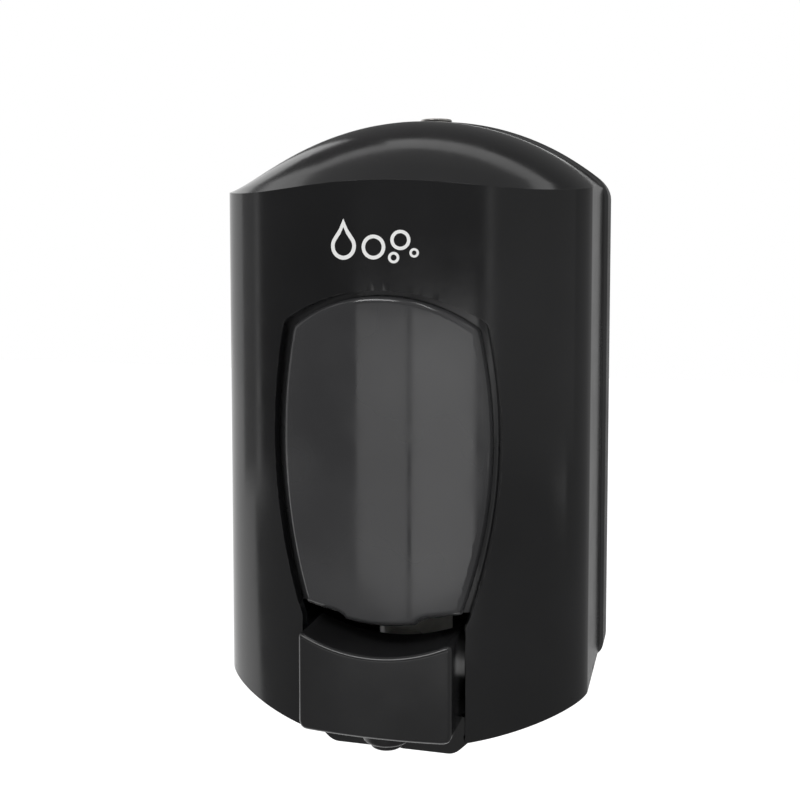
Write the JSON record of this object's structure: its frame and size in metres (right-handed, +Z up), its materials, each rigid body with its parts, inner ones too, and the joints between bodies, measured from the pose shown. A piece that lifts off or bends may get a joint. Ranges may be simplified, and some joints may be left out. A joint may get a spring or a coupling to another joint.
{
  "type": "wall mounted soap dispenser",
  "caption": "Bowed wall-mounted push-button soap dispenser with a smoked tank showing through a drop-down cover, and a piston pump beneath.",
  "frame": {"origin": "middle of the flat back face that lies on the wall", "axes": "+Z up, +Y into the wall, -Y towards the user, +X to the right as the user sees it"},
  "size_m": [0.123, 0.092, 0.2047],
  "materials": {
    "gloss_black_shell": "polished black ABS",
    "gloss_black_button": "semi-gloss black ABS",
    "satin_black": "fine-textured black ABS",
    "smoked_clear": "smoked translucent SAN tank",
    "natural_white": "natural polypropylene",
    "seal_rubber": "moulded rubber",
    "steel": "bright stainless steel",
    "lock_metal": "black-chromed zinc"
  },
  "bodies": {
    "body": {"wall_plate": "satin_black", "hinge_pin_left": "steel", "hinge_pin_right": "steel", "tank": "smoked_clear", "lid_pin": "steel", "return_spring": "steel", "pump_housing": "natural_white", "pump_end_cap": "natural_white", "pump_collar": "satin_black", "neck_gasket": "seal_rubber", "outlet_spring": "steel", "nozzle": "satin_black", "bottom_tray": "satin_black", "tray_screw_left": "steel", "tray_screw_right": "steel", "pump_screw_left": "steel", "pump_screw_right": "steel"},
    "cover": {"front_cover": "gloss_black_shell"},
    "button": {"push_button": "gloss_black_button", "piston": "natural_white", "piston_seal": "seal_rubber"},
    "lock": {"lock_barrel": "lock_metal", "lock_cam": "steel", "lock_screw": "steel"},
    "lid": {"tank_lid": "satin_black"},
    "inlet_valve": {"inlet_ball": "steel"},
    "outlet_valve": {"outlet_ball": "steel"}
  },
  "joints": [
    {"name": "cover_hinge", "type": "hinge", "parent": "body", "child": "cover", "pos_m": [0, -0.03, -0.083], "axis": [1, 0, 0], "range_deg": [0, 90]},
    {"name": "button_slide", "type": "slide", "parent": "body", "child": "button", "axis": [0, 1, 0], "range_m": [0, 0.009], "stiffness_N_per_m": 500, "springref_m": -0.004, "deforming": ["return_spring"]},
    {"name": "lock_turn", "type": "hinge", "parent": "body", "child": "lock", "pos_m": [0, -0.008, 0.09], "axis": [0, 0, 1], "range_deg": [0, 90]},
    {"name": "lid_hinge", "type": "hinge", "parent": "body", "child": "lid", "pos_m": [0, -0.0244, 0.0625], "axis": [-1, 0, 0], "range_deg": [0, 80]},
    {"name": "inlet_ball_lift", "type": "slide", "parent": "body", "child": "inlet_valve", "axis": [0, 0, 1], "range_m": [0, 0.001]},
    {"name": "outlet_ball_drop", "type": "slide", "parent": "body", "child": "outlet_valve", "axis": [0, 0, -1], "range_m": [0, 0.001], "stiffness_N_per_m": 40, "springref_m": -0.001, "deforming": ["outlet_spring"]}
  ]
}
